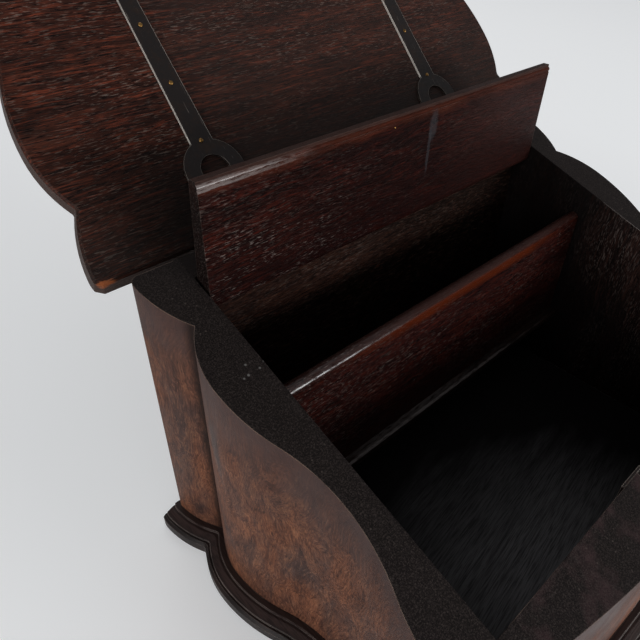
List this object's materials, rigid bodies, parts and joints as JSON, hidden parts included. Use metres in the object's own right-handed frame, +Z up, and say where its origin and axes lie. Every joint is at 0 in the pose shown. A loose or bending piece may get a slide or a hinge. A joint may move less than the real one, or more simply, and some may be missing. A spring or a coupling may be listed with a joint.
{
  "type": "sewing box",
  "caption": "Slant-lid sewing box with lobed sides and a stepped base, its strap-hinged lid open, with a rear till under its own raised lid and a box lock.",
  "frame": {"origin": "middle of the box body's plan, between its side boards and between its front and back corners, on the underside of the bottom board", "axes": "+X to the right as seen from the front, +Y towards the back where the lid is hinged, +Z up"},
  "size_m": [0.3216, 0.3909, 0.3259],
  "materials": {
    "case_wood": "waxed, figured, red-brown",
    "inside_wood": "unfinished, darkened with age",
    "moulding_wood": "waxed, dark",
    "till_wood": "open-grained, dark, worn at the edges",
    "lid_wood": "open-grained, dark red-brown",
    "wrought_iron": "dark, worn bright at the edges",
    "pin_steel": "dull",
    "old_brass": "tarnished"
  },
  "bodies": {
    "box": {"left_wall": "case_wood", "right_wall": "case_wood", "front_wall": "case_wood", "back_wall": "inside_wood", "bottom_board": "inside_wood", "moulding_left": "moulding_wood", "moulding_right": "moulding_wood", "moulding_front": "moulding_wood", "till_front": "till_wood", "till_floor": "till_wood", "hinge_leaf_left": "wrought_iron", "hinge_leaf_right": "wrought_iron", "hinge_pin_left": "pin_steel", "hinge_pin_right": "pin_steel", "lock_plate": "wrought_iron", "lock_case": "wrought_iron", "leaf_nails": "wrought_iron", "lock_nails": "wrought_iron", "bottom_nails": "wrought_iron"},
    "lid": {"lid_board": "lid_wood", "strap_left": "wrought_iron", "strap_right": "wrought_iron", "strap_nails": "old_brass", "staple": "wrought_iron", "staple_nails": "wrought_iron"},
    "till_lid": {"till_lid": "till_wood", "till_lid_pin": "old_brass"},
    "bolt": {"lock_bolt": "pin_steel"}
  },
  "joints": [
    {"name": "lid_hinge", "type": "hinge", "parent": "box", "child": "lid", "pos_m": [0, 0.1052, 0.16523], "axis": [1, 0, 0], "range_deg": [0, 153.5]},
    {"name": "till_lid_pivot", "type": "hinge", "parent": "box", "child": "till_lid", "pos_m": [0, 0.08535, 0.15348], "axis": [1, 0, 0], "range_deg": [0, 113.8]},
    {"name": "bolt_slide", "type": "slide", "parent": "box", "child": "bolt", "axis": [1, 0, 0], "range_m": [0, 0.008]}
  ],
  "couplings": [
    {"joint": "till_lid_pivot", "follows": "lid_hinge", "ratio": 0.7413}
  ]
}
